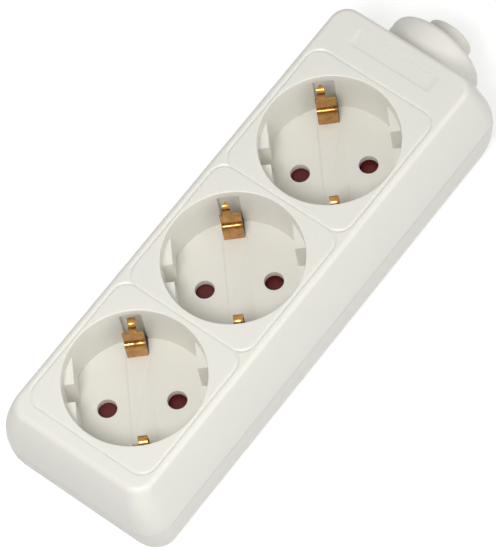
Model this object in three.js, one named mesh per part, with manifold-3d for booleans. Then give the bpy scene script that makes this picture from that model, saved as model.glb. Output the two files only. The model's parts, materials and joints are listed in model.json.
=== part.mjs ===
// Triple socket adapter: three side-earthed round-pin sockets in one long block
// Millimetres, +Z up, +X along the block towards the cable gland.
// The origin is on the underside, below the middle socket's axis.

import * as THREE from 'three';
import { mergeVertices } from 'three/addons/utils/BufferGeometryUtils.js';
import Module from 'manifold-3d';

const wasm = await Module();
wasm.setup();

// Housing: the cover spreads from the top face down to the seam, and the tray curves back in
const bodyHeight = 39;
const partingHeight = 19;
const partingGap = 0.2;
const topEndBack = -69.2;
const topEndGland = 79.4;
const topHalfWidth = 22.6;
const backSpread = 3.9;
const backCurve = 3.2;
const glandSpread = 5.2;
const glandCurve = 1.3;
const sideSpread = 4.55;
const sideCurve = 1.4;
const trayEndTuck = 5.7;
const traySideTuck = 3.85;
const trayCurve = 2.4;
const topCornerRadius = 5.0;
const seamCornerRadius = 7.5;
const topEdgeFillet = 1.2;
const bottomEdgeFillet = 0.9;
const wall = 2.0;
const topWall = 2.2;
const trayFloor = 2.0;

// Sockets
const socketCount = 3;
const pitch = 43.08;
const pinAxisDegrees = -47.5;
const cupRadius = 19.7;
const cupDepth = 17.5;
const cupWall = 1.6;
const cupFloor = 2.2;
const rimFillet = 0.35;
const pinSpacing = 19;
const pinHoleRadius = 2.75;
const flatDistance = 16.6;
const ledgeDrop = 5.0;
const guideSlotWidth = 5.3;
const bandWidth = 7.0;
const bandDepth = 0.25;

// Lines round each socket on the top face, and the bare label recess
const panelHalfWidth = 20.65;
const panelCornerRadius = 4.6;
const panelLineWidth = 1.1;
const panelLineDepth = 0.35;
const labelLength = 26.8;
const labelWidth = 5.1;
const labelCentreX = 72.5;
const labelDepth = 0.4;

// Earth clips
const clipWidth = 5.5;
const clipThickness = 0.6;
const clipSideGap = 0.25;
const clipBulgeRadius = 15.4;
const clipBackRadius = 16.1;
const clipTipRadius = 17.4;
const clipBulgeDepth = 11.9;
const clipShoulderDepth = 5.4;
const clipTipDepth = 2.4;
const clipSlit = 0.35;
const tongueWidth = 2.3;
const windowTopDrop = 2.7;
const windowInnerRadius = 14.7;
const windowBackRadius = 21.3;
const windowBackWall = 1.5;
const windowCheek = 1.5;

// Contact strips
const strip = 0.8;
const busbarHeight = 5.0;
const busbarWidth = 7.4;
const contactLength = 7;
const contactTop = 12.2;
const contactPinch = 2.1;
const contactMouth = 3.0;
const contactHoleRadius = 2.6;
const contactOverrun = 4.4;
const earthBarHeight = 12.8;
const earthBarWidth = 5;
const terminalX = 61;
const stripEndOverrun = 4;

// Shutters under the cup floors
const shutterGap = 0.4;
const shutterThickness = 2.0;
const shutterRadius = 12.9;
const shutterHalfAngle = 24;
const shutterHubRadius = 4.4;
const shutterRampDrop = 1.1;
const pivotRadius = 1.4;
const runningGap = 0.3;
const capThickness = 1.4;
const capRadius = 13.2;
const stakeRadius = 1.5;
const stakeHeadRadius = 2.3;
const stakeHeadThickness = 0.5;
const stakeDistance = 10.8;
const springWire = 0.4;
const springRadius = 2.6;
const springTurns = 1.5;
const springPitch = 0.5;

// Cable gland
const glandAxisHeight = 16.4;
const glandHalfWidth = 14.3;
const glandHalfHeight = 16.2;
const glandShoulderX = 91.3;
const glandShoulderFillet = 2.2;
const glandNoseRadius = 7.05;
const glandNoseX = 97.2;
const glandNoseFillet = 1.0;
const glandWallGap = 0.3;
const glandNeckHalfWidth = 10.5;
const glandNeckHalfHeight = 12.4;
const glandFlangeLip = 1.4;
const glandFlangeBack = 76.4;
const cableBoreRadius = 4.3;
const boreMouthRadius = 5.4;
const boreMouthLength = 2.0;

// Screws, clamp and supports
const seatGap = 0.1;
const columnX = [-62.5, 70.3];
const columnY = 17.2;
const columnRadius = 3.5;
const screwShankRadius = 1.5;
const screwHeadRadius = 2.7;
const screwHeadHeight = 1.8;
const screwHeadRecess = 1.2;
const screwLength = 27;
const screwClearance = 0.3;
const slotWidth = 0.8;
const slotDepth = 0.7;
const ribThickness = 1.6;
const ribHalfLength = 12;
const crossWebThickness = 1.6;
const pillarRadius = 2.2;
const lipHeight = 1.5;
const lipThickness = 1.2;
const lipFoot = 2.0;
const lipClearance = 0.3;
const clampX = 71.5;
const clampPostY = 9.4;
const clampPostRadius = 2.8;
const clampPostHeight = 10;
const clampWidth = 6.4;
const clampThickness = 2.4;
const clampSaddleDepth = 0.9;
const clampScrewLength = 8;
const terminalScrewLength = 5;
const terminalBossRadius = 3.2;

const roundSides = 64;
const smallSides = 16;
const cornerSteps = 7;
const wallSteps = 6;

// Derived places
const overcut = 1;
const root = 0.5;
const smallestCorner = 0.8;
const glandFace = topEndGland + glandSpread;
const glandFlangeHalf = glandNeckHalfWidth + glandFlangeLip;
const { clamp } = THREE.MathUtils;
const pinAxis = THREE.MathUtils.degToRad(pinAxisDegrees);
const clipAxis = pinAxis + Math.PI / 2;
const cupFloorTop = bodyHeight - cupDepth;
const cupFloorUnder = cupFloorTop - cupFloor;
const ledgeTop = bodyHeight - ledgeDrop;
const socketX = Array.from({ length: socketCount }, (_, i) => (i - (socketCount - 1) / 2) * pitch);
const shutterTop = cupFloorUnder - shutterGap;
const shutterUnder = shutterTop - shutterThickness;
const capTop = shutterUnder - runningGap;
const capUnder = capTop - capThickness;
const pinX = (pinSpacing / 2) * Math.cos(pinAxis);
const pinY = (pinSpacing / 2) * Math.sin(pinAxis);

function toSolid(geometry) {
  const bare = geometry.clone();
  bare.deleteAttribute('normal');
  bare.deleteAttribute('uv');
  const merged = mergeVertices(bare, 1e-5);
  return new wasm.Manifold(new wasm.Mesh({
    numProp: 3,
    vertProperties: new Float32Array(merged.attributes.position.array),
    triVerts: new Uint32Array(merged.index.array),
  }));
}

function toGeometry(solid) {
  const mesh = solid.getMesh();
  const geometry = new THREE.BufferGeometry();
  const positions = new Float32Array((mesh.vertProperties.length / mesh.numProp) * 3);
  for (let i = 0; i < positions.length / 3; i += 1) {
    positions.set(mesh.vertProperties.subarray(i * mesh.numProp, i * mesh.numProp + 3), i * 3);
  }
  geometry.setAttribute('position', new THREE.BufferAttribute(positions, 3));
  geometry.setIndex(new THREE.BufferAttribute(new Uint32Array(mesh.triVerts), 1));
  geometry.computeVertexNormals();
  return geometry;
}

const join = (solids) => solids.reduce((sum, solid) => sum.add(solid));
const cut = (solid, tools) => tools.reduce((rest, tool) => rest.subtract(tool), solid);

// An upright prism of a closed 2D outline
function prism(points, bottom, top, holes = []) {
  const shape = new THREE.Shape(points);
  shape.holes = holes.map((hole) => new THREE.Path(hole));
  const geometry = new THREE.ExtrudeGeometry(shape, { depth: top - bottom, bevelEnabled: false });
  geometry.translate(0, 0, bottom);
  return toSolid(geometry);
}

function circle(x, y, radius, sides) {
  return Array.from({ length: sides }, (_, i) => {
    const turn = (i / sides) * 2 * Math.PI;
    return new THREE.Vector2(x + radius * Math.cos(turn), y + radius * Math.sin(turn));
  });
}

const rod = (x, y, radius, bottom, top, sides = smallSides) => prism(circle(x, y, radius, sides), bottom, top);

function block(x0, x1, y0, y1, bottom, top) {
  const geometry = new THREE.BoxGeometry(x1 - x0, y1 - y0, top - bottom);
  geometry.translate((x0 + x1) / 2, (y0 + y1) / 2, (bottom + top) / 2);
  return toSolid(geometry);
}

// A block turned about a socket's axis: "along" is the distance from the axis
function turnedBlock(centreX, turn, along0, along1, halfWidth, bottom, top) {
  const geometry = new THREE.BoxGeometry(along1 - along0, 2 * halfWidth, top - bottom);
  geometry.translate((along0 + along1) / 2, 0, (bottom + top) / 2);
  geometry.rotateZ(turn);
  geometry.translate(centreX, 0, 0);
  return toSolid(geometry);
}

function roundedRectangle(x0, x1, halfWidth, radius) {
  const points = [];
  const corners = [[x1, halfWidth, 0], [x0, halfWidth, 1], [x0, -halfWidth, 2], [x1, -halfWidth, 3]];
  for (const [x, y, quarter] of corners) {
    const cx = x - Math.sign(x - (x0 + x1) / 2) * radius;
    const cy = y - Math.sign(y) * radius;
    for (let i = 0; i <= cornerSteps; i += 1) {
      const turn = (quarter + i / cornerSteps) * (Math.PI / 2);
      points.push(new THREE.Vector2(cx + radius * Math.cos(turn), cy + radius * Math.sin(turn)));
    }
  }
  return points;
}

// A solid through matching outlines stacked in height
function loft(levels) {
  const count = levels[0].outline.length;
  const positions = levels.flatMap(({ outline, height }) => outline.flatMap((p) => [p.x, p.y, height]));
  const index = [];
  for (let level = 0; level < levels.length - 1; level += 1) {
    for (let i = 0; i < count; i += 1) {
      const a = level * count + i;
      const b = level * count + ((i + 1) % count);
      index.push(a, b, b + count, a, b + count, a + count);
    }
  }
  const last = (levels.length - 1) * count;
  for (const [a, b, c] of THREE.ShapeUtils.triangulateShape(levels[0].outline, [])) {
    index.push(c, b, a, last + a, last + b, last + c);
  }
  const geometry = new THREE.BufferGeometry();
  geometry.setAttribute('position', new THREE.Float32BufferAttribute(positions, 3));
  geometry.setIndex(index);
  return toSolid(geometry);
}

// The housing's outline at a height, moved inwards by an inset
function housingOutline(height, inset) {
  const down = clamp((bodyHeight - height) / (bodyHeight - partingHeight), 0, 1);
  const tuck = clamp((partingHeight - height) / partingHeight, 0, 1) ** trayCurve;
  const back = backSpread * (1 - (1 - down) ** backCurve) - trayEndTuck * tuck - inset;
  const front = glandSpread * (1 - (1 - down) ** glandCurve) - trayEndTuck * tuck - inset;
  const sides = sideSpread * (1 - (1 - down) ** sideCurve) - traySideTuck * tuck - inset;
  const radius = topCornerRadius + (seamCornerRadius - topCornerRadius) * down - traySideTuck * tuck - inset;
  return roundedRectangle(
    topEndBack - back,
    topEndGland + front,
    topHalfWidth + sides,
    Math.max(smallestCorner, radius),
  );
}

// Levels of the housing's curved wall between two heights
function wallLevels(bottom, top, inset, steps = wallSteps) {
  return Array.from({ length: steps + 1 }, (_, i) => {
    const height = bottom + ((top - bottom) * i) / steps;
    return { height, outline: housingOutline(height, inset) };
  });
}

const housingForm = (bottom, top, inset) => loft(wallLevels(bottom, top, inset));

// Heights and insets of a quarter-round edge that ends at "edge"
function filletLevels(edge, radius, upwards, outline, steps = 5) {
  return Array.from({ length: steps + 1 }, (_, i) => {
    const turn = (i / steps) * (Math.PI / 2);
    const rise = radius * (1 - Math.sin(turn));
    const height = upwards ? edge - rise : edge + rise;
    return { height, outline: outline(height, radius * (1 - Math.cos(turn))) };
  });
}

// Top cover: one moulding with the three cups, closed by the base tray
function panelGroove(centreX) {
  const level = (height, offset) => ({
    height,
    outline: roundedRectangle(
      centreX - pitch / 2 - offset,
      centreX + pitch / 2 + offset,
      panelHalfWidth + offset,
      panelCornerRadius + offset,
    ),
  });
  const slope = panelLineWidth / 2 / panelLineDepth;
  const bottom = bodyHeight - panelLineDepth;
  const above = bodyHeight + 0.2;
  const outer = loft([level(bottom, 0), level(above, slope * (above - bottom))]);
  const inner = loft([
    level(bottom - 0.2, slope * 0.2),
    level(above + 0.2, -slope * (above + 0.2 - bottom)),
  ]);
  return outer.subtract(inner);
}

function cupCut(centreX) {
  const profile = [new THREE.Vector2(0, cupFloorTop), new THREE.Vector2(cupRadius, cupFloorTop)];
  const steps = 3;
  for (let i = 0; i <= steps; i += 1) {
    const turn = (i / steps) * (Math.PI / 2);
    profile.push(new THREE.Vector2(
      cupRadius + rimFillet * (1 - Math.cos(turn)),
      bodyHeight - rimFillet * (1 - Math.sin(turn)),
    ));
  }
  profile.push(new THREE.Vector2(cupRadius + rimFillet, bodyHeight + overcut));
  profile.push(new THREE.Vector2(0, bodyHeight + overcut));
  const geometry = new THREE.LatheGeometry(profile, roundSides);
  geometry.rotateX(Math.PI / 2);
  geometry.translate(centreX, 0, 0);
  return toSolid(geometry);
}

// The two guide ledges at one end of the pin axis, with the slot between them
function guideLedges(centreX, turn) {
  const outer = cupRadius + cupWall / 2;
  return [-1, 1].map((side) => {
    const from = Math.asin(guideSlotWidth / 2 / outer);
    const to = Math.acos(flatDistance / outer);
    const arc = Array.from({ length: 7 }, (_, i) => {
      const angle = side * (from + ((to - from) * i) / 6);
      return new THREE.Vector2(outer * Math.cos(angle), outer * Math.sin(angle));
    });
    const outline = [new THREE.Vector2(flatDistance, (side * guideSlotWidth) / 2), ...arc];
    const placed = outline.map((p) => p.rotateAround(new THREE.Vector2(), turn));
    placed.forEach((p) => p.add(new THREE.Vector2(centreX, 0)));
    return prism(side > 0 ? placed : placed.reverse(), cupFloorUnder, ledgeTop);
  });
}

function topCover() {
  const coverBottom = partingHeight + partingGap;
  const outer = loft([
    ...wallLevels(coverBottom, bodyHeight - topEdgeFillet, 0).slice(0, -1),
    ...filletLevels(bodyHeight, topEdgeFillet, true, housingOutline),
  ]);
  const ceiling = bodyHeight - topWall;
  const cavity = loft([
    { height: partingHeight - overcut, outline: housingOutline(partingHeight, wall) },
    ...wallLevels(coverBottom, ceiling, wall),
  ]);
  let cover = outer.subtract(cavity);

  const windowHalf = clipWidth / 2 + clipSideGap;
  const inside = [];
  for (const x of socketX) {
    inside.push(rod(x, 0, cupRadius + cupWall, cupFloorUnder, ceiling + overcut, roundSides));
    for (const side of [0, Math.PI]) {
      inside.push(turnedBlock(x, clipAxis + side, cupRadius - 1, windowBackRadius + windowBackWall,
        windowHalf + windowCheek, cupFloorUnder, ceiling + overcut));
    }
  }
  // Webs between neighbouring cups, out to the side walls and clear of the tray's lip
  const seamHalfWidth = topHalfWidth + sideSpread;
  for (let i = 0; i < socketCount - 1; i += 1) {
    const x = (socketX[i] + socketX[i + 1]) / 2;
    inside.push(block(x - crossWebThickness / 2, x + crossWebThickness / 2,
      -seamHalfWidth, seamHalfWidth, partingHeight + lipHeight + lipClearance, ceiling + overcut));
  }
  for (const x of columnX) {
    for (const side of [-1, 1]) {
      inside.push(rod(x, side * columnY, columnRadius, coverBottom, ceiling + overcut));
    }
  }
  // Everything inside stops at the housing's outer skin
  const skin = housingForm(partingHeight, bodyHeight - topWall / 2, wall / 2);
  cover = cover.add(join(inside).intersect(skin));

  cover = cut(cover, socketX.map(cupCut));
  for (const x of socketX) {
    for (const side of [0, Math.PI]) {
      cover = cover.add(join(guideLedges(x, pinAxis + side)));
    }
    const stakes = [0, Math.PI].flatMap((side) => {
      const sx = x + stakeDistance * Math.cos(clipAxis + side);
      const sy = stakeDistance * Math.sin(clipAxis + side);
      const headTop = capUnder - seatGap;
      return [
        rod(sx, sy, stakeRadius, headTop - stakeHeadThickness / 2, cupFloorUnder + root),
        rod(sx, sy, stakeHeadRadius, headTop - stakeHeadThickness, headTop),
      ];
    });
    cover = cover.add(join(stakes));
  }

  const cuts = [];
  for (const x of socketX) {
    for (const side of [0, Math.PI]) {
      cuts.push(turnedBlock(x, clipAxis + side, windowInnerRadius, windowBackRadius, windowHalf,
        cupFloorUnder - overcut, bodyHeight - windowTopDrop));
      const turn = pinAxis + side;
      cuts.push(rod(x + (pinSpacing / 2) * Math.cos(turn), (pinSpacing / 2) * Math.sin(turn),
        pinHoleRadius, cupFloorUnder - overcut, cupFloorTop + overcut, 28));
    }
    cuts.push(turnedBlock(x, clipAxis, -windowInnerRadius, windowInnerRadius, bandWidth / 2,
      cupFloorTop - bandDepth, cupFloorTop + overcut));
    cuts.push(panelGroove(x));
  }
  for (const x of columnX) {
    for (const side of [-1, 1]) {
      cuts.push(rod(x, side * columnY, screwShankRadius + screwClearance,
        partingHeight - overcut, screwHeadRecess + screwHeadHeight + screwLength + overcut));
    }
  }
  cuts.push(block(labelCentreX - labelWidth / 2, labelCentreX + labelWidth / 2,
    -labelLength / 2, labelLength / 2, bodyHeight - labelDepth, bodyHeight + overcut));
  cuts.push(glandPassage());
  return cut(cover, cuts);
}

// Cable gland: a stepped oval bush held in the end wall by a neck and an inner flange
function ovalRevolve(profile, halfWidth, halfHeight) {
  const geometry = new THREE.LatheGeometry(profile, 48);
  geometry.rotateZ(-Math.PI / 2);
  const stretch = halfHeight / halfWidth;
  const positions = geometry.attributes.position;
  for (let i = 0; i < positions.count; i += 1) {
    positions.setZ(i, positions.getZ(i) * stretch + glandAxisHeight);
  }
  return toSolid(geometry);
}

function glandPassage() {
  const halfWidth = glandNeckHalfWidth + glandWallGap;
  const profile = [
    new THREE.Vector2(0, glandFlangeBack),
    new THREE.Vector2(halfWidth, glandFlangeBack),
    new THREE.Vector2(halfWidth, glandFace + overcut),
    new THREE.Vector2(0, glandFace + overcut),
  ];
  return ovalRevolve(profile, halfWidth, glandNeckHalfHeight + glandWallGap);
}

function roundedEnd(radius, end, fillet, steps = 4) {
  return Array.from({ length: steps + 1 }, (_, i) => {
    const turn = (i / steps) * (Math.PI / 2);
    return new THREE.Vector2(
      radius - fillet * (1 - Math.cos(turn)),
      end - fillet * (1 - Math.sin(turn)),
    );
  });
}

function cableGland() {
  const collar = ovalRevolve([
    new THREE.Vector2(0, topEndGland - wall),
    new THREE.Vector2(glandHalfWidth, topEndGland - wall),
    ...roundedEnd(glandHalfWidth, glandShoulderX, glandShoulderFillet),
    new THREE.Vector2(0, glandShoulderX),
  ], glandHalfWidth, glandHalfHeight);
  // The collar meets the end wall's curved outside and the flange its inside
  const outside = housingForm(partingHeight, bodyHeight, -glandWallGap)
    .add(housingForm(0, partingHeight, -glandWallGap))
    .add(block(topEndBack, topEndGland, -glandHalfWidth * 2, glandHalfWidth * 2, -overcut, root));
  const inside = housingForm(partingHeight, bodyHeight, wall + glandWallGap)
    .add(housingForm(trayFloor, partingHeight, wall + glandWallGap));
  const neck = ovalRevolve([
    new THREE.Vector2(0, glandFlangeBack + root),
    new THREE.Vector2(glandNeckHalfWidth, glandFlangeBack + root),
    new THREE.Vector2(glandNeckHalfWidth, glandFace + overcut),
    new THREE.Vector2(0, glandFace + overcut),
  ], glandNeckHalfWidth, glandNeckHalfHeight);
  const flange = ovalRevolve([
    new THREE.Vector2(0, glandFlangeBack),
    new THREE.Vector2(glandFlangeHalf, glandFlangeBack),
    new THREE.Vector2(glandFlangeHalf, glandFace),
    new THREE.Vector2(0, glandFace),
  ], glandFlangeHalf, glandNeckHalfHeight + glandFlangeLip).intersect(inside);
  const nose = ovalRevolve([
    new THREE.Vector2(0, glandShoulderX - 2),
    new THREE.Vector2(glandNoseRadius, glandShoulderX - 2),
    ...roundedEnd(glandNoseRadius, glandNoseX, glandNoseFillet, 3),
    new THREE.Vector2(0, glandNoseX),
  ], glandNoseRadius, glandNoseRadius);
  const bore = ovalRevolve([
    new THREE.Vector2(0, glandFlangeBack - overcut),
    new THREE.Vector2(cableBoreRadius, glandFlangeBack - overcut),
    new THREE.Vector2(cableBoreRadius, glandNoseX - boreMouthLength),
    new THREE.Vector2(boreMouthRadius, glandNoseX + 0.01),
    new THREE.Vector2(boreMouthRadius, glandNoseX + overcut),
    new THREE.Vector2(0, glandNoseX + overcut),
  ], cableBoreRadius, cableBoreRadius);
  return join([collar.subtract(outside), neck, flange, nose]).subtract(bore);
}

// Base tray: floor, rim, locating lip, screw columns and the supports of the strips
function baseTray() {
  const outer = loft([
    ...filletLevels(0, bottomEdgeFillet, false, housingOutline, 4).reverse(),
    ...wallLevels(bottomEdgeFillet, partingHeight, 0).slice(1),
  ]);
  const cavity = loft([
    ...wallLevels(trayFloor, partingHeight, wall),
    { height: partingHeight + overcut, outline: housingOutline(partingHeight, wall) },
  ]);
  // The lip stands on a step of the wall and reaches up inside the cover
  const lipInset = wall + lipClearance;
  const lipBottom = partingHeight - lipFoot;
  const lip = join([
    housingForm(lipBottom, partingHeight, wall - root),
    housingForm(partingHeight - root, partingHeight + lipHeight, lipInset),
  ])
    .subtract(housingForm(lipBottom - overcut, partingHeight + lipHeight + overcut, lipInset + lipThickness))
    .subtract(block(glandFlangeBack, glandFace, -glandFlangeHalf - lipClearance, glandFlangeHalf + lipClearance,
      lipBottom - overcut, partingHeight + lipHeight + overcut));
  const seat = busbarHeight - seatGap;
  const rooted = trayFloor - root;
  const supports = [];
  const ribX = [...socketX, ...socketX.slice(1).map((x) => x - pitch / 2)];
  for (const x of ribX) {
    supports.push(block(x - ribThickness / 2, x + ribThickness / 2, -ribHalfLength, ribHalfLength, rooted, seat));
  }
  for (const x of socketX.slice(1).map((value) => value - pitch / 2)) {
    supports.push(rod(x, 0, pillarRadius, rooted, earthBarHeight - seatGap));
  }
  for (const x of columnX) {
    for (const side of [-1, 1]) {
      supports.push(rod(x, side * columnY, columnRadius, rooted, partingHeight));
    }
  }
  for (const side of [-1, 1]) {
    supports.push(rod(terminalX, side * Math.abs(pinY), terminalBossRadius, rooted, seat));
    supports.push(rod(clampX, side * clampPostY, clampPostRadius, rooted, clampPostHeight));
  }
  supports.push(rod(terminalX, 0, terminalBossRadius, rooted, earthBarHeight - seatGap));

  const cuts = [glandPassage()];
  for (const x of columnX) {
    for (const side of [-1, 1]) {
      cuts.push(rod(x, side * columnY, screwShankRadius + screwClearance, -overcut, partingHeight + overcut));
      cuts.push(rod(x, side * columnY, screwHeadRadius + screwClearance,
        -overcut, screwHeadRecess + screwHeadHeight + seatGap));
    }
  }
  for (const side of [-1, 1]) {
    cuts.push(rod(terminalX, side * Math.abs(pinY), screwShankRadius, trayFloor, seat + overcut));
    cuts.push(rod(clampX, side * clampPostY, screwShankRadius + screwClearance - 0.2,
      trayFloor, clampPostHeight + overcut));
  }
  cuts.push(rod(terminalX, 0, screwShankRadius, trayFloor, earthBarHeight + overcut));
  return cut(join([outer.subtract(cavity), lip, ...supports]), cuts);
}

// Live and neutral strips: a flat bar with a pair of sprung leaves at each pin
function contactLeaves(x, y) {
  const half = contactMouth;
  const foot = busbarHeight + strip / 2;
  const height = contactTop - foot;
  return [-1, 1].map((side) => {
    const line = [
      [half, foot],
      [half, foot + height * 0.15],
      [contactPinch, foot + height * 0.62],
      [half, contactTop],
    ];
    const inner = line.map(([out, z]) => new THREE.Vector2(out, z));
    const outerLine = line.map(([out, z]) => new THREE.Vector2(out + strip * 0.8, z)).reverse();
    const shape = new THREE.Shape([...inner, ...outerLine].map((p) => new THREE.Vector2(side * p.x, p.y)));
    const geometry = new THREE.ExtrudeGeometry(shape, { depth: contactLength, bevelEnabled: false });
    geometry.rotateX(Math.PI / 2);
    geometry.rotateZ(Math.PI / 2);
    geometry.translate(x - contactLength / 2, y, 0);
    return toSolid(geometry);
  });
}

function busbar(side) {
  const y = side * Math.abs(pinY);
  const contacts = socketX.map((x) => x - side * pinX);
  const leafOut = contactMouth + strip * 0.8;
  const bar = block(contacts[0] - contactOverrun, terminalX + stripEndOverrun,
    y - busbarWidth / 2, y + busbarWidth / 2, busbarHeight, busbarHeight + strip);
  const pads = contacts.map((x) => block(x - contactLength / 2, x + contactLength / 2,
    y - leafOut, y + leafOut, busbarHeight, busbarHeight + strip));
  const leaves = contacts.flatMap((x) => contactLeaves(x, y));
  const holes = contacts.map((x) => rod(x, y, contactHoleRadius, busbarHeight - overcut, busbarHeight + strip + overcut));
  holes.push(rod(terminalX, y, screwShankRadius, busbarHeight - overcut, busbarHeight + strip + overcut));
  return cut(join([bar, ...pads, ...leaves]), holes);
}

// Earth strip: a bar with a cross arm under each socket, bent up into two side clips
function clipLeaf(centreX, turn) {
  const top = (depth) => bodyHeight - depth;
  const line = [
    [clipBackRadius - 0.3, earthBarHeight],
    [clipBackRadius - 0.3, cupFloorUnder],
    [clipBulgeRadius + 0.1, cupFloorTop],
    [clipBulgeRadius, top(clipBulgeDepth)],
    [clipBackRadius, top(clipBulgeDepth - 1.1)],
    [clipBackRadius - 0.1, top(clipShoulderDepth)],
    [clipBackRadius + 0.8, top(clipShoulderDepth - 1.4)],
    [clipTipRadius, top(clipTipDepth)],
  ];
  const front = line.map(([r, z]) => new THREE.Vector2(r, z));
  const back = line.map(([r, z]) => new THREE.Vector2(r + clipThickness, z)).reverse();
  const geometry = new THREE.ExtrudeGeometry(new THREE.Shape([...front, ...back]),
    { depth: clipWidth, bevelEnabled: false });
  geometry.translate(0, 0, -clipWidth / 2);
  geometry.rotateX(Math.PI / 2);
  geometry.rotateZ(turn);
  geometry.translate(centreX, 0, 0);
  const leaf = toSolid(geometry);

  const outline = (points) => points.map(([across, z]) => new THREE.Vector2(across, z));
  const half = clipWidth / 2;
  const shoulder = top(clipShoulderDepth);
  const tongueFrom = clipSlit / 2;
  const tongueTo = tongueFrom + tongueWidth;
  const tongueMid = (tongueFrom + tongueTo) / 2;
  const tip = top(clipTipDepth);
  const above = bodyHeight + overcut;
  const trims = [
    outline([[-half - 1, shoulder - 0.2], [-clipSlit / 2, shoulder - 0.2], [tongueFrom, shoulder],
      [tongueFrom, tip - 1.4], [tongueMid, tip - 0.1], [tongueMid, above], [-half - 1, above]]),
    outline([[tongueMid, above], [tongueMid, tip - 0.1], [tongueTo, tip - 1.4], [tongueTo, shoulder],
      [half + 1, shoulder - 0.3], [half + 1, above]]),
    outline([[-clipSlit / 2, cupFloorTop + 1], [clipSlit / 2, cupFloorTop + 1],
      [clipSlit / 2, shoulder + 1], [-clipSlit / 2, shoulder + 1]]),
  ].map((points) => {
    const trim = new THREE.ExtrudeGeometry(new THREE.Shape(points), { depth: 12, bevelEnabled: false });
    trim.rotateX(Math.PI / 2);
    trim.rotateZ(Math.PI / 2);
    trim.translate(windowInnerRadius - 3, 0, 0);
    trim.rotateZ(turn);
    trim.translate(centreX, 0, 0);
    return toSolid(trim);
  });
  return cut(leaf, trims);
}

function earthBar() {
  const reach = clipBackRadius - 0.3 + clipThickness;
  const parts = [block(socketX[0] - earthBarWidth / 2, terminalX + stripEndOverrun,
    -earthBarWidth / 2, earthBarWidth / 2, earthBarHeight, earthBarHeight + strip)];
  for (const x of socketX) {
    parts.push(turnedBlock(x, clipAxis, -reach, reach, clipWidth / 2, earthBarHeight, earthBarHeight + strip));
    parts.push(clipLeaf(x, clipAxis), clipLeaf(x, clipAxis + Math.PI));
  }
  const hole = rod(terminalX, 0, screwShankRadius, earthBarHeight - overcut, earthBarHeight + strip + overcut);
  return join(parts).subtract(hole);
}

// Shutter: a two-winged rotor whose sloped wings lie under the pin holes
function wingOutline(turn) {
  const half = THREE.MathUtils.degToRad(shutterHalfAngle);
  const steps = 8;
  const arc = Array.from({ length: steps + 1 }, (_, i) => {
    const angle = turn - half + (2 * half * i) / steps;
    return new THREE.Vector2(shutterRadius * Math.cos(angle), shutterRadius * Math.sin(angle));
  });
  return [new THREE.Vector2(0, 0), ...arc];
}

function shutter() {
  const hub = prism(circle(0, 0, shutterHubRadius, 24), shutterUnder, shutterTop);
  const wings = [0, Math.PI].map((side) => prism(wingOutline(side), shutterUnder, shutterTop));
  const rampLength = shutterRadius * Math.sin(THREE.MathUtils.degToRad(shutterHalfAngle)) * 2;
  const slope = Math.atan2(shutterRampDrop, rampLength);
  const ramps = [0, Math.PI].map((side) => {
    const geometry = new THREE.BoxGeometry(shutterRadius, rampLength * 1.6, 4);
    geometry.translate(shutterHubRadius + shutterRadius / 2, 0, 2);
    geometry.rotateX(-slope);
    geometry.translate(0, 0, shutterTop - shutterRampDrop / 2);
    geometry.rotateZ(side);
    return toSolid(geometry);
  });
  const bore = rod(0, 0, pivotRadius + runningGap, shutterUnder - overcut, shutterTop + overcut);
  const springRoom = prism(circle(0, 0, springRadius + springWire / 2 + runningGap, 24),
    shutterUnder - overcut, shutterUnder + springTurns * springPitch + springWire + runningGap);
  return cut(join([hub, ...wings]), [...ramps, bore, springRoom]);
}

// Cap: holds the shutter up against the cup floor and carries its pivot
function shutterCap() {
  const plate = prism(circle(0, 0, capRadius, 40), capUnder, capTop);
  const pivot = rod(0, 0, pivotRadius, capTop - 0.5, shutterTop);
  const holes = [0, Math.PI].flatMap((side) => [
    rod((pinSpacing / 2) * Math.cos(side), (pinSpacing / 2) * Math.sin(side),
      pinHoleRadius + runningGap, capUnder - overcut, capTop + overcut),
    rod(0, stakeDistance * Math.cos(side), stakeRadius + runningGap, capUnder - overcut, capTop + overcut),
  ]);
  return cut(plate.add(pivot), holes);
}

// Torsion spring round the pivot
class Helix extends THREE.Curve {
  getPoint(t, target = new THREE.Vector3()) {
    const turn = t * springTurns * 2 * Math.PI;
    return target.set(springRadius * Math.cos(turn), springRadius * Math.sin(turn), t * springTurns * springPitch);
  }
}

function shutterSpring() {
  const section = new THREE.Shape(circle(0, 0, springWire / 2, 5));
  const geometry = new THREE.ExtrudeGeometry(section,
    { steps: springTurns * 14, bevelEnabled: false, extrudePath: new Helix() });
  geometry.translate(0, 0, shutterUnder + springWire / 2);
  return toSolid(geometry);
}

// Screws: a slotted cheese head on a plain shank, the head at the end given
function screw(length, headAtBottom) {
  const sign = headAtBottom ? 1 : -1;
  const profile = [
    new THREE.Vector2(0, 0),
    new THREE.Vector2(screwHeadRadius - 0.3, 0),
    new THREE.Vector2(screwHeadRadius, 0.3),
    new THREE.Vector2(screwHeadRadius, screwHeadHeight),
    new THREE.Vector2(screwShankRadius - screwClearance, screwHeadHeight),
    new THREE.Vector2(screwShankRadius - screwClearance, screwHeadHeight + length - 0.8),
    new THREE.Vector2(0.3, screwHeadHeight + length),
    new THREE.Vector2(0, screwHeadHeight + length),
  ];
  const geometry = new THREE.LatheGeometry(profile, 12);
  geometry.rotateX((sign * Math.PI) / 2);
  const slot = block(-slotWidth / 2, slotWidth / 2, -screwHeadRadius - 1, screwHeadRadius + 1,
    headAtBottom ? -overcut : -slotDepth, headAtBottom ? slotDepth : overcut);
  return toSolid(geometry).subtract(slot);
}

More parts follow.
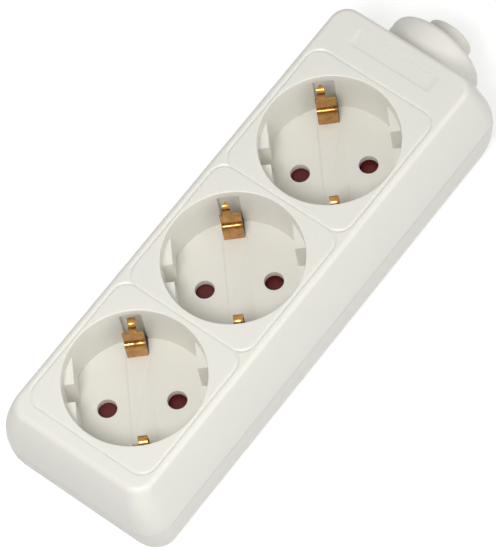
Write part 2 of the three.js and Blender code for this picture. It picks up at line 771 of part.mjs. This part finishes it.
// Cord clamp: a bar with a shallow saddle, screwed down on two posts
function cordClamp() {
  const bottom = clampPostHeight + seatGap;
  const half = clampPostY + clampPostRadius;
  const bar = block(clampX - clampWidth / 2, clampX + clampWidth / 2, -half, half, bottom, bottom + clampThickness);
  const saddleRadius = (cableBoreRadius ** 2 + clampSaddleDepth ** 2) / (2 * clampSaddleDepth);
  const saddle = new THREE.CylinderGeometry(saddleRadius, saddleRadius, clampWidth + 2, 48);
  saddle.rotateZ(Math.PI / 2);
  saddle.translate(clampX, 0, bottom + clampSaddleDepth - saddleRadius);
  const holes = [-1, 1].map((side) => rod(clampX, side * clampPostY, screwShankRadius,
    bottom - overcut, bottom + clampThickness + overcut));
  return cut(bar, [toSolid(saddle), ...holes]);
}

const ivory = () => new THREE.MeshStandardMaterial({ color: 0xe8e6df, roughness: 0.42, metalness: 0 });
const ivoryDark = () => new THREE.MeshStandardMaterial({ color: 0xdfddd6, roughness: 0.5, metalness: 0 });
const brass = () => new THREE.MeshStandardMaterial({ color: 0xb0803f, roughness: 0.3, metalness: 1 });
const steel = () => new THREE.MeshStandardMaterial({ color: 0xb5b8bb, roughness: 0.35, metalness: 1 });
const darkRed = () => new THREE.MeshStandardMaterial({ color: 0x6e2a26, roughness: 0.45, metalness: 0 });

const group = new THREE.Group();

function place(name, solid, material, position = [0, 0, 0], turn = 0) {
  const mesh = new THREE.Mesh(toGeometry(solid), material);
  mesh.name = name;
  mesh.position.set(...position);
  mesh.rotation.z = turn;
  group.add(mesh);
}

place('top_cover', topCover(), ivory());
place('base_tray', baseTray(), ivoryDark());
place('cable_gland', cableGland(), ivory());
place('cord_clamp', cordClamp(), ivoryDark());
place('live_busbar', busbar(-1), brass());
place('neutral_busbar', busbar(1), brass());
place('earth_bar', earthBar(), brass());

socketX.forEach((x, i) => {
  place(`shutter_${i + 1}`, shutter(), darkRed(), [x, 0, 0], pinAxis);
  place(`shutter_spring_${i + 1}`, shutterSpring(), steel(), [x, 0, 0], pinAxis);
  place(`shutter_cap_${i + 1}`, shutterCap(), ivoryDark(), [x, 0, 0], pinAxis);
});

const coverScrew = screw(screwLength, true);
columnX.forEach((x, i) => {
  [-1, 1].forEach((side, j) => {
    place(`cover_screw_${i * 2 + j + 1}`, coverScrew, steel(), [x, side * columnY, screwHeadRecess]);
  });
});

const clampScrewTop = clampPostHeight + seatGap * 2 + clampThickness + screwHeadHeight;
[-1, 1].forEach((side, i) => {
  place(`clamp_screw_${i + 1}`, screw(clampScrewLength, false), steel(), [clampX, side * clampPostY, clampScrewTop]);
});

const terminals = [
  ['live_terminal_screw', -Math.abs(pinY), busbarHeight, terminalScrewLength - 1.8],
  ['neutral_terminal_screw', Math.abs(pinY), busbarHeight, terminalScrewLength - 1.8],
  ['earth_terminal_screw', 0, earthBarHeight, terminalScrewLength],
];
for (const [name, y, height, length] of terminals) {
  place(name, screw(length, false), steel(), [terminalX, y, height + strip + seatGap + screwHeadHeight]);
}

export default group;
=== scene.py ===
import bmesh
import bpy
import json
import math
from mathutils import Matrix, Vector

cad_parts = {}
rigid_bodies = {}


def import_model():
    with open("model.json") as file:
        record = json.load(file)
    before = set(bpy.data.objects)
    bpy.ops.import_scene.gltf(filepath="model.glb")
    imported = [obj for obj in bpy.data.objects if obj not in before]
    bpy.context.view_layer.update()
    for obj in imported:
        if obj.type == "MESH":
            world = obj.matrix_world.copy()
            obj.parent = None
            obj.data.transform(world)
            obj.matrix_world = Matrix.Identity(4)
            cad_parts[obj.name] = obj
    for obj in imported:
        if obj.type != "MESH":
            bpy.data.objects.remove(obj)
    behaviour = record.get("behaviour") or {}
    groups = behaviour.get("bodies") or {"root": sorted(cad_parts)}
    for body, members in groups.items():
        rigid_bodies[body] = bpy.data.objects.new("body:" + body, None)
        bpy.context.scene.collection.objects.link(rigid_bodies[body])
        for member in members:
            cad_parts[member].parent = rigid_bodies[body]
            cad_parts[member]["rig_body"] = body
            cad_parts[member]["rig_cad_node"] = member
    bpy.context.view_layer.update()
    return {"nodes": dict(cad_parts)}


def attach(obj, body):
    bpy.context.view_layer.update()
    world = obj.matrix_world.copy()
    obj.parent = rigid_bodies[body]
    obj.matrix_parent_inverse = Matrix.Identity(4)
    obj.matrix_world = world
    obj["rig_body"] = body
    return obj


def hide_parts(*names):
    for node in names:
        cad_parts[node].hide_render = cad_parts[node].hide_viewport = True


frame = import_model()
nodes = frame["nodes"]

# Camera
# The block is seen from above and from its blank end, with the long sides
# running up to the right. The lens is long, so that lines stay nearly parallel.
view_right = Vector((0.60466237, -0.79007399, -0.10082906))
view_up = Vector((0.74074828, 0.51130464, 0.43572876))
view_back = Vector((-0.29270359, -0.33815773, 0.89441263))
view_turn = Matrix((view_right, view_up, view_back)).transposed()
view_place = Vector((-0.320462, -0.374584, 1.011727))

camera_data = bpy.data.cameras.new("camera")
camera_data.lens = 265.6
camera_data.sensor_width = 36.0
camera_data.clip_start = 0.05
camera_data.clip_end = 20.0
camera = bpy.data.objects.new("camera", camera_data)
camera.matrix_world = Matrix.Translation(view_place) @ view_turn.to_4x4()
bpy.context.scene.collection.objects.link(camera)
bpy.context.scene.camera = camera
bpy.context.scene.view_settings.view_transform = "Standard"

# Floor and light
# A matt white table, a soft key light high on the left, a broad fill from the
# right, and an even white surround.
floor_size = 3.0
floor_drop = 0.0001
floor_glow = 0.6
surround_light = 0.45
bpy.ops.object.select_all(action="DESELECT")
bpy.ops.mesh.primitive_plane_add(size=floor_size, location=(0.0, 0.0, -floor_drop))
floor = bpy.context.object
floor.name = "floor"

floor_paint = bpy.data.materials.new("floor_paint")
floor_paint.use_nodes = True
tree = floor_paint.node_tree
tree.nodes.clear()
floor_out = tree.nodes.new("ShaderNodeOutputMaterial")
floor_matt = tree.nodes.new("ShaderNodeBsdfDiffuse")
floor_matt.inputs["Color"].default_value = (0.55, 0.55, 0.54, 1.0)
floor_lift = tree.nodes.new("ShaderNodeEmission")
floor_sum = tree.nodes.new("ShaderNodeAddShader")
floor_mix = tree.nodes.new("ShaderNodeMixShader")
floor_path = tree.nodes.new("ShaderNodeLightPath")
floor_seen = tree.nodes.new("ShaderNodeMath")
floor_seen.operation = "MAXIMUM"
floor_lift.inputs["Strength"].default_value = floor_glow
tree.links.new(floor_path.outputs["Is Camera Ray"], floor_seen.inputs[0])
tree.links.new(floor_path.outputs["Is Glossy Ray"], floor_seen.inputs[1])
tree.links.new(floor_matt.outputs[0], floor_sum.inputs[0])
tree.links.new(floor_lift.outputs[0], floor_sum.inputs[1])
tree.links.new(floor_seen.outputs[0], floor_mix.inputs[0])
tree.links.new(floor_matt.outputs[0], floor_mix.inputs[1])
tree.links.new(floor_sum.outputs[0], floor_mix.inputs[2])
tree.links.new(floor_mix.outputs[0], floor_out.inputs["Surface"])
floor.data.materials.append(floor_paint)

surround = bpy.data.worlds.new("surround")
bpy.context.scene.world = surround
surround.use_nodes = True
tree = surround.node_tree
tree.nodes.clear()
sky_out = tree.nodes.new("ShaderNodeOutputWorld")
sky = tree.nodes.new("ShaderNodeBackground")
sky.inputs["Color"].default_value = (1.0, 1.0, 1.0, 1.0)
sky_path = tree.nodes.new("ShaderNodeLightPath")
sky_seen = tree.nodes.new("ShaderNodeMath")
sky_seen.operation = "MAXIMUM"
sky_clear = tree.nodes.new("ShaderNodeMath")
sky_clear.operation = "MAXIMUM"
sky_level = tree.nodes.new("ShaderNodeMapRange")
sky_level.inputs["To Min"].default_value = surround_light
sky_level.inputs["To Max"].default_value = 1.0
tree.links.new(sky_path.outputs["Is Camera Ray"], sky_seen.inputs[0])
tree.links.new(sky_path.outputs["Is Glossy Ray"], sky_seen.inputs[1])
tree.links.new(sky_seen.outputs[0], sky_clear.inputs[0])
tree.links.new(sky_path.outputs["Is Transmission Ray"], sky_clear.inputs[1])
tree.links.new(sky_clear.outputs[0], sky_level.inputs["Value"])
tree.links.new(sky_level.outputs[0], sky.inputs["Strength"])
tree.links.new(sky.outputs[0], sky_out.inputs["Surface"])

key_way = Vector((-0.43, -0.22, 0.88)).normalized()
key_distance = 0.75
key_data = bpy.data.lights.new("key_light", "AREA")
key_data.shape = "DISK"
key_data.energy = 2.8
key_data.size = 0.24
key_light = bpy.data.objects.new("key_light", key_data)
key_light.location = key_way * key_distance
key_light.rotation_euler = key_way.to_track_quat("Z", "Y").to_euler()
bpy.context.scene.collection.objects.link(key_light)

fill_place = Vector((0.25, -1.5, 0.6))
fill_data = bpy.data.lights.new("fill_light", "AREA")
fill_data.energy = 7.8
fill_data.size = 1.2
fill_light = bpy.data.objects.new("fill_light", fill_data)
fill_light.location = fill_place
fill_light.rotation_euler = fill_place.to_track_quat("Z", "Y").to_euler()
bpy.context.scene.collection.objects.link(fill_light)


# Top cover
# One deep ivory moulding with three plug cups, panel lines and a label recess.
# It is moulded in a glossy urea plastic, a little cloudy and faintly translucent.
weld_gap = 0.000002
level_angle = math.radians(0.4)


def moulding_copy(node, name, body, angle):
    """The CAD node's own shape as one joined skin with rounded shading."""
    bpy.ops.object.select_all(action="DESELECT")
    piece = nodes[node].copy()
    piece.data = nodes[node].data.copy()
    piece.parent = None
    piece.matrix_world = Matrix.Identity(4)
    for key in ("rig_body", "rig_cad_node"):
        del piece[key]
    piece.name = name
    piece.data.name = name
    bpy.context.scene.collection.objects.link(piece)
    bpy.context.view_layer.objects.active = piece
    piece.select_set(True)
    bpy.ops.mesh.customdata_custom_splitnormals_clear()
    bpy.ops.object.mode_set(mode="EDIT")
    bpy.ops.mesh.select_all(action="SELECT")
    bpy.ops.mesh.remove_doubles(threshold=weld_gap)
    bpy.ops.mesh.dissolve_limited(angle_limit=level_angle)
    bpy.ops.object.mode_set(mode="OBJECT")
    bpy.ops.object.shade_smooth_by_angle(angle=math.radians(angle))
    even = piece.modifiers.new("even_shading", "WEIGHTED_NORMAL")
    even.keep_sharp = True
    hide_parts(node)
    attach(piece, body)
    return piece


def add_node(tree, kind, values=None, **settings):
    """One node with its settings and the values of its sockets."""
    node = tree.nodes.new(kind)
    for key, value in settings.items():
        setattr(node, key, value)
    for socket, value in (values or {}).items():
        node.inputs[socket].default_value = value
    return node


def group_sockets(group, wanted, made):
    """Names the inputs and outputs of a shader node group."""
    for name, kind in wanted:
        group.interface.new_socket(name, in_out="INPUT", socket_type=kind)
    for name, kind in made:
        group.interface.new_socket(name, in_out="OUTPUT", socket_type=kind)


moulded_skin = bpy.data.node_groups.new("moulded_skin", "ShaderNodeTree")
group_sockets(
    moulded_skin,
    [
        ("Plastic", "NodeSocketColor"), ("Shade", "NodeSocketColor"),
        ("Cloud Scale", "NodeSocketFloat"), ("Cloud", "NodeSocketFloat"),
        ("Gloss Low", "NodeSocketFloat"), ("Gloss High", "NodeSocketFloat"),
    ],
    [("Color", "NodeSocketColor"), ("Roughness", "NodeSocketFloat"), ("Height", "NodeSocketFloat")],
)
skin_in = add_node(moulded_skin, "NodeGroupInput")
skin_out = add_node(moulded_skin, "NodeGroupOutput")
skin_place = add_node(moulded_skin, "ShaderNodeTexCoord")
skin_cloud = add_node(moulded_skin, "ShaderNodeTexNoise", {"Detail": 4.0, "Roughness": 0.55})
skin_mark = add_node(moulded_skin, "ShaderNodeMath", operation="MULTIPLY")
skin_mix = add_node(moulded_skin, "ShaderNodeMix", data_type="RGBA")
skin_wear = add_node(
    moulded_skin, "ShaderNodeTexNoise", {"Scale": 260.0, "Detail": 5.0, "Roughness": 0.6})
skin_rough = add_node(moulded_skin, "ShaderNodeMapRange", {"From Min": 0.3, "From Max": 0.7})
skin_grain = add_node(
    moulded_skin, "ShaderNodeTexNoise", {"Scale": 2600.0, "Detail": 2.0, "Roughness": 0.5})
skin_wave = add_node(moulded_skin, "ShaderNodeTexNoise", {"Scale": 120.0, "Detail": 1.0})
skin_sum = add_node(moulded_skin, "ShaderNodeMath", operation="ADD")
links = moulded_skin.links
links.new(skin_place.outputs["Object"], skin_cloud.inputs["Vector"])
links.new(skin_in.outputs["Cloud Scale"], skin_cloud.inputs["Scale"])
links.new(skin_cloud.outputs["Fac"], skin_mark.inputs[0])
links.new(skin_in.outputs["Cloud"], skin_mark.inputs[1])
links.new(skin_mark.outputs[0], skin_mix.inputs["Factor"])
links.new(skin_in.outputs["Plastic"], skin_mix.inputs["A"])
links.new(skin_in.outputs["Shade"], skin_mix.inputs["B"])
links.new(skin_place.outputs["Object"], skin_wear.inputs["Vector"])
links.new(skin_wear.outputs["Fac"], skin_rough.inputs["Value"])
links.new(skin_in.outputs["Gloss High"], skin_rough.inputs["To Min"])
links.new(skin_in.outputs["Gloss Low"], skin_rough.inputs["To Max"])
links.new(skin_place.outputs["Object"], skin_grain.inputs["Vector"])
links.new(skin_place.outputs["Object"], skin_wave.inputs["Vector"])
links.new(skin_grain.outputs["Fac"], skin_sum.inputs[0])
links.new(skin_wave.outputs["Fac"], skin_sum.inputs[1])
links.new(skin_mix.outputs["Result"], skin_out.inputs["Color"])
links.new(skin_rough.outputs["Result"], skin_out.inputs["Roughness"])
links.new(skin_sum.outputs[0], skin_out.inputs["Height"])


glow_colours = (1.0, 0.7, 0.45)
glow_depth = 0.003
grain_depth = 0.00005


def moulded_plastic(name, plastic, shade, cloud_scale, cloud, gloss, bump, glow):
    """A moulded plastic: its colour, its clouding, its gloss range, its grain and its glow."""
    finish = bpy.data.materials.new(name)
    finish.use_nodes = True
    tree = finish.node_tree
    shader = tree.nodes["Principled BSDF"]
    shader.inputs["Subsurface Weight"].default_value = glow
    shader.inputs["Subsurface Radius"].default_value = glow_colours
    shader.inputs["Subsurface Scale"].default_value = glow_depth
    skin = add_node(tree, "ShaderNodeGroup", node_tree=moulded_skin)
    skin.inputs["Plastic"].default_value = plastic
    skin.inputs["Shade"].default_value = shade
    skin.inputs["Cloud Scale"].default_value = cloud_scale
    skin.inputs["Cloud"].default_value = cloud
    skin.inputs["Gloss High"].default_value = gloss[0]
    skin.inputs["Gloss Low"].default_value = gloss[1]
    relief = add_node(tree, "ShaderNodeBump", {"Strength": bump, "Distance": grain_depth})
    tree.links.new(skin.outputs["Color"], shader.inputs["Base Color"])
    tree.links.new(skin.outputs["Roughness"], shader.inputs["Roughness"])
    tree.links.new(skin.outputs["Height"], relief.inputs["Height"])
    tree.links.new(relief.outputs["Normal"], shader.inputs["Normal"])
    return finish


cover_skin = moulding_copy("top_cover", "cover_moulding", "housing", 32.0)
cover_plastic = moulded_plastic(
    "cover_plastic", (0.80, 0.786, 0.728, 1.0), (0.76, 0.740, 0.676, 1.0),
    cloud_scale=55.0, cloud=0.55, gloss=(0.32, 0.48), bump=0.12, glow=0.3)
cover_skin.data.materials.clear()
cover_skin.data.materials.append(cover_plastic)

# Base tray
# The deep lower shell that closes the block from below. It is moulded in a
# slightly duller plastic and held up against the cover by four screws.
tray_skin = moulding_copy("base_tray", "tray_moulding", "housing", 32.0)
tray_plastic = moulded_plastic(
    "tray_plastic", (0.765, 0.75, 0.70, 1.0), (0.72, 0.70, 0.64, 1.0),
    cloud_scale=60.0, cloud=0.5, gloss=(0.38, 0.52), bump=0.16, glow=0.2)
tray_skin.data.materials.clear()
tray_skin.data.materials.append(tray_plastic)

# Cable gland
# A stepped oval sleeve in the end wall, softer and duller than the block. It is
# clamped by its flange between the two shells.
gland_skin = moulding_copy("cable_gland", "gland_moulding", "housing", 38.0)
gland_plastic = moulded_plastic(
    "gland_plastic", (0.79, 0.77, 0.71, 1.0), (0.74, 0.715, 0.65, 1.0),
    cloud_scale=70.0, cloud=0.5, gloss=(0.42, 0.55), bump=0.18, glow=0.2)
gland_skin.data.materials.clear()
gland_skin.data.materials.append(gland_plastic)

# Earth clips
# One pressed brass strip with a pair of sprung leaves bent up in each cup. The
# brass is rolled and polished, with fine lines along the sheet and a brown bloom.
# Its colour is painted darker than polished brass, a painted reflection of dark
# surroundings.
# Each leaf is slit, its top cut down to a tongue, and the tongue curled back.
rolled_metal = bpy.data.node_groups.new("rolled_metal", "ShaderNodeTree")
group_sockets(
    rolled_metal,
    [
        ("Metal", "NodeSocketColor"), ("Bloom", "NodeSocketColor"), ("Bloom Amount", "NodeSocketFloat"),
        ("Polish", "NodeSocketFloat"), ("Dull", "NodeSocketFloat"),
    ],
    [("Color", "NodeSocketColor"), ("Roughness", "NodeSocketFloat"), ("Height", "NodeSocketFloat")],
)
metal_in = add_node(rolled_metal, "NodeGroupInput")
metal_out = add_node(rolled_metal, "NodeGroupOutput")
metal_place = add_node(rolled_metal, "ShaderNodeTexCoord")
metal_cloud = add_node(
    rolled_metal, "ShaderNodeTexNoise", {"Scale": 420.0, "Detail": 5.0, "Roughness": 0.6})
metal_step = add_node(rolled_metal, "ShaderNodeMapRange", {"From Min": 0.38, "From Max": 0.66})
metal_mark = add_node(rolled_metal, "ShaderNodeMath", operation="MULTIPLY")
metal_mix = add_node(rolled_metal, "ShaderNodeMix", data_type="RGBA")
metal_stretch = add_node(rolled_metal, "ShaderNodeMapping", {"Scale": (1.0, 0.05, 0.05)})
metal_line = add_node(rolled_metal, "ShaderNodeTexNoise", {"Scale": 9000.0, "Detail": 2.0})
metal_rough = add_node(rolled_metal, "ShaderNodeMapRange", {"From Min": 0.25, "From Max": 0.75})
links = rolled_metal.links
links.new(metal_place.outputs["Object"], metal_cloud.inputs["Vector"])
links.new(metal_cloud.outputs["Fac"], metal_step.inputs["Value"])
links.new(metal_step.outputs["Result"], metal_mark.inputs[0])
links.new(metal_in.outputs["Bloom Amount"], metal_mark.inputs[1])
links.new(metal_mark.outputs[0], metal_mix.inputs["Factor"])
links.new(metal_in.outputs["Metal"], metal_mix.inputs["A"])
links.new(metal_in.outputs["Bloom"], metal_mix.inputs["B"])
links.new(metal_place.outputs["Object"], metal_stretch.inputs["Vector"])
links.new(metal_stretch.outputs["Vector"], metal_line.inputs["Vector"])
links.new(metal_line.outputs["Fac"], metal_rough.inputs["Value"])
links.new(metal_in.outputs["Polish"], metal_rough.inputs["To Min"])
links.new(metal_in.outputs["Dull"], metal_rough.inputs["To Max"])
links.new(metal_mix.outputs["Result"], metal_out.inputs["Color"])
links.new(metal_rough.outputs["Result"], metal_out.inputs["Roughness"])
links.new(metal_line.outputs["Fac"], metal_out.inputs["Height"])


line_depth = 0.00002


def sheet_metal(name, metal, bloom, amount, polish, dull):
    """A rolled metal: its colour, its bloom and how bright or dull it is."""
    finish = bpy.data.materials.new(name)
    finish.use_nodes = True
    tree = finish.node_tree
    shader = tree.nodes["Principled BSDF"]
    shader.inputs["Metallic"].default_value = 1.0
    skin = add_node(tree, "ShaderNodeGroup", node_tree=rolled_metal)
    skin.inputs["Metal"].default_value = metal
    skin.inputs["Bloom"].default_value = bloom
    skin.inputs["Bloom Amount"].default_value = amount
    skin.inputs["Polish"].default_value = polish
    skin.inputs["Dull"].default_value = dull
    relief = add_node(tree, "ShaderNodeBump", {"Strength": 0.15, "Distance": line_depth})
    tree.links.new(skin.outputs["Color"], shader.inputs["Base Color"])
    tree.links.new(skin.outputs["Roughness"], shader.inputs["Roughness"])
    tree.links.new(skin.outputs["Height"], relief.inputs["Height"])
    tree.links.new(relief.outputs["Normal"], shader.inputs["Normal"])
    return finish


# The brass colour is painted darker than polished brass: a painted reflection of the dark surroundings the
# leaves mirror. The bloom patches fall at random.
clip_brass = sheet_metal(
    "clip_brass", (0.50, 0.265, 0.082, 1.0), (0.28, 0.13, 0.036, 1.0), amount=0.75, polish=0.15, dull=0.30)

leaf_width = 0.0058
leaf_thickness = 0.0006
leaf_foot = 0.0185
leaf_edge_round = 0.00008
leaf_round_steps = 2
bend_steps = 4
slit_reach = 0.00001
corner_slope = 1.1
leaf_slit = (0.0222, 0.0300)
leaf_line = (
    (0.01580, 0.0184), (0.01570, 0.0191), (0.01495, 0.0206), (0.01485, 0.0217), (0.01484, 0.0240),
    (0.01484, 0.0264), (0.01491, 0.0272), (0.01514, 0.0277), (0.01560, 0.02785), (0.01590, 0.0284),
    (0.01592, 0.0302), (0.01594, 0.0322), (0.01600, 0.0336), (0.01612, 0.0352), (0.01648, 0.0363),
    (0.01712, 0.0368), (0.01785, 0.0367), (0.01840, 0.0363),
)


def leaf_bends(points, steps):
    """Rounds a line of bends, each given as the reach from the cup's axis and the height."""
    last = len(points) - 1
    line = []
    for i in range(last):
        before, start, end, after = (Vector(points[max(0, min(last, j))]) for j in (i - 1, i, i + 1, i + 2))
        for step in range(steps):
            t = step / steps
            curve = 2.0 * before - 5.0 * start + 4.0 * end - after
            twist = 3.0 * start - before - 3.0 * end + after
            line.append(0.5 * (2.0 * start + (end - before) * t + curve * t ** 2 + twist * t ** 3))
    line.append(Vector(points[last]))
    return line


def select_where(kind, test):
    """In edit mode, selects only the vertices, edges or faces whose middle passes the test."""
    mesh = bmesh.from_edit_mesh(bpy.context.object.data)
    bpy.ops.mesh.select_mode(type=kind)
    bpy.ops.mesh.select_all(action="DESELECT")
    if kind == "VERT":
        for vert in mesh.verts:
            vert.select_set(test(vert.co))
    elif kind == "EDGE":
        for edge in mesh.edges:
            edge.select_set(test(edge.verts[0].co) and test(edge.verts[1].co))
    else:
        for face in mesh.faces:
            face.select_set(test(face.calc_center_median()))
    mesh.select_flush_mode()
    bmesh.update_edit_mesh(bpy.context.object.data)


def spring_leaf(name, centre_x, turn, shoulder, tongue, reach, taper):
    """One sprung earth leaf: a bent sheet, slit down its middle, with a curled tongue.

    turn faces it outwards, shoulder is the height where the tongue starts, tongue
    its two sides, reach how far out it curls, and taper how much its corners lose.
    """
    bends = leaf_bends(leaf_line, bend_steps)
    bpy.ops.object.select_all(action="DESELECT")
    bpy.ops.mesh.primitive_plane_add(size=leaf_width)
    leaf = bpy.context.object
    leaf.name = name
    leaf.data.name = name
    bpy.ops.object.mode_set(mode="EDIT")
    select_where("VERT", lambda co: co.x > 0.0)
    bpy.ops.mesh.delete(type="VERT")
    bpy.ops.mesh.select_all(action="SELECT")
    bpy.ops.transform.translate(value=(bends[0].x + leaf_width / 2, 0.0, bends[0].y))
    for here, there in zip(bends, bends[1:]):
        bpy.ops.mesh.extrude_region_move(
            TRANSFORM_OT_translate={"value": (there.x - here.x, 0.0, there.y - here.y)})
    low, high = tongue
    for across in (low, 0.0, high):
        bpy.ops.mesh.select_all(action="SELECT")
        bpy.ops.mesh.bisect(plane_co=(0.0, across, 0.0), plane_no=(0.0, 1.0, 0.0))
    bpy.ops.mesh.select_all(action="SELECT")
    bpy.ops.mesh.bisect(plane_co=(0.0, 0.0, shoulder), plane_no=(0.0, 0.0, 1.0))
    select_where("FACE", lambda co: co.z > shoulder and not low < co.y < high)
    bpy.ops.mesh.delete(type="FACE")
    for corner, beyond in (
        (Vector((reach, 0.0, 0.0)), Vector((1.0, 0.0, 0.0))),
        (Vector((reach - taper, low, 0.0)), Vector((1.0, -corner_slope, 0.0))),
        (Vector((reach - taper, high, 0.0)), Vector((1.0, corner_slope, 0.0))),
    ):
        bpy.ops.mesh.select_all(action="SELECT")
        bpy.ops.mesh.bisect(plane_co=corner, plane_no=beyond)
        select_where("FACE", lambda co: co.z > shoulder and (co - corner).dot(beyond) > 0.0)
        bpy.ops.mesh.delete(type="FACE")
    select_where("EDGE", lambda co: abs(co.y) < slit_reach and leaf_slit[0] < co.z < leaf_slit[1])
    bpy.ops.mesh.edge_split()
    bpy.ops.object.mode_set(mode="OBJECT")
    sheet = leaf.modifiers.new("sheet", "SOLIDIFY")
    sheet.thickness = leaf_thickness
    sheet.offset = 1.0
    bpy.ops.object.modifier_apply(modifier=sheet.name)
    edges = leaf.modifiers.new("edges", "BEVEL")
    edges.width = leaf_edge_round
    edges.segments = leaf_round_steps
    edges.limit_method = "ANGLE"
    edges.angle_limit = math.radians(50.0)
    bpy.ops.object.modifier_apply(modifier=edges.name)
    bpy.ops.object.mode_set(mode="EDIT")
    bpy.ops.mesh.select_all(action="SELECT")
    bpy.ops.mesh.normals_make_consistent(inside=False)
    bpy.ops.object.mode_set(mode="OBJECT")
    leaf.rotation_euler.z = turn
    leaf.location.x = centre_x
    bpy.ops.object.transform_apply(location=True, rotation=True, scale=True)
    leaf.data.materials.append(clip_brass)
    return leaf


clip_axis = math.radians(42.5)
socket_pitch = 0.04308
far_side = clip_axis
near_side = clip_axis + math.pi
leaves = [
    spring_leaf("far_leaf_1", -socket_pitch, far_side, 0.0336, (-0.0014, 0.0008), 0.0184, 0.0003),
    spring_leaf("far_leaf_2", 0.0, far_side, 0.0334, (-0.0004, 0.0019), 0.0177, 0.0011),
    spring_leaf("far_leaf_3", socket_pitch, far_side, 0.0334, (-0.0002, 0.0021), 0.0180, 0.0011),
    spring_leaf("near_leaf_1", -socket_pitch, near_side, 0.0300, (-0.0006, 0.0020), 0.0184, 0.0002),
    spring_leaf("near_leaf_2", 0.0, near_side, 0.0300, (-0.0016, 0.0011), 0.0184, 0.0002),
    spring_leaf("near_leaf_3", socket_pitch, near_side, 0.0300, (-0.0018, 0.0008), 0.0184, 0.0002),
]
earth_skin = moulding_copy("earth_bar", "earth_clip_strip", "housing", 40.0)
earth_skin.data.materials.clear()
earth_skin.data.materials.append(clip_brass)
bpy.ops.object.mode_set(mode="EDIT")
bpy.ops.mesh.select_all(action="SELECT")
bpy.ops.mesh.bisect(
    plane_co=(0.0, 0.0, leaf_foot), plane_no=(0.0, 0.0, 1.0), use_fill=True, clear_outer=True)
bpy.ops.object.mode_set(mode="OBJECT")
for leaf in leaves:
    leaf.select_set(True)
bpy.ops.object.join()
bpy.ops.object.shade_smooth_by_angle(angle=math.radians(40.0))

# Shutters
# A two-winged disc behind each pair of pin holes. It is moulded in dark red
# plastic, turns on a post under the cup, and a spring holds it over the holes.
shutter_plastic = moulded_plastic(
    "shutter_plastic", (0.12, 0.012, 0.012, 1.0), (0.075, 0.010, 0.009, 1.0),
    cloud_scale=160.0, cloud=0.7, gloss=(0.30, 0.46), bump=0.2, glow=0.0)
shutter_plastic.node_tree.nodes["Principled BSDF"].inputs["Specular IOR Level"].default_value = 0.3
for number in (1, 2, 3):
    wing = moulding_copy(
        f"shutter_{number}", f"red_shutter_{number}", f"shutter_rotor_{number}", 35.0)
    wing.data.materials.clear()
    wing.data.materials.append(shutter_plastic)

# Shutter caps and cord clamp
# Plain pressed-in caps that carry the shutters, and the bridge that grips the
# cable. Both are moulded in the tray's plastic.
for node, name in (
    ("shutter_cap_1", "carrier_cap_1"),
    ("shutter_cap_2", "carrier_cap_2"),
    ("shutter_cap_3", "carrier_cap_3"),
    ("cord_clamp", "clamp_bridge"),
):
    inner = moulding_copy(node, name, "housing", 35.0)
    inner.data.materials.clear()
    inner.data.materials.append(tray_plastic)

# Contact strips
# Two brass strips under the pin holes, each with a pair of sprung leaves for
# every socket. They are pressed from brass brighter than the earth clips, whose
# colour is painted darker as a painted reflection.
contact_brass = sheet_metal(
    "contact_brass", (0.70, 0.49, 0.20, 1.0), (0.45, 0.27, 0.10, 1.0), amount=0.5, polish=0.24, dull=0.40)
for node, name in (("live_busbar", "live_strip"), ("neutral_busbar", "neutral_strip")):
    strip = moulding_copy(node, name, "housing", 35.0)
    strip.data.materials.clear()
    strip.data.materials.append(contact_brass)

# Screws and springs
# Zinc-plated steel: four screws up through the tray, two on the cord clamp,
# three at the terminals, and a coil spring on each shutter.
plated_steel = sheet_metal(
    "plated_steel", (0.62, 0.63, 0.64, 1.0), (0.42, 0.42, 0.43, 1.0), amount=0.5, polish=0.26, dull=0.42)
steel_pieces = (
    [f"cover_screw_{n}" for n in (1, 2, 3, 4)]
    + [f"clamp_screw_{n}" for n in (1, 2)]
    + ["live_terminal_screw", "neutral_terminal_screw", "earth_terminal_screw"]
    + [f"shutter_spring_{n}" for n in (1, 2, 3)]
)
for node in steel_pieces:
    steel = moulding_copy(node, f"steel_{node}", "housing", 35.0)
    steel.data.materials.clear()
    steel.data.materials.append(plated_steel)
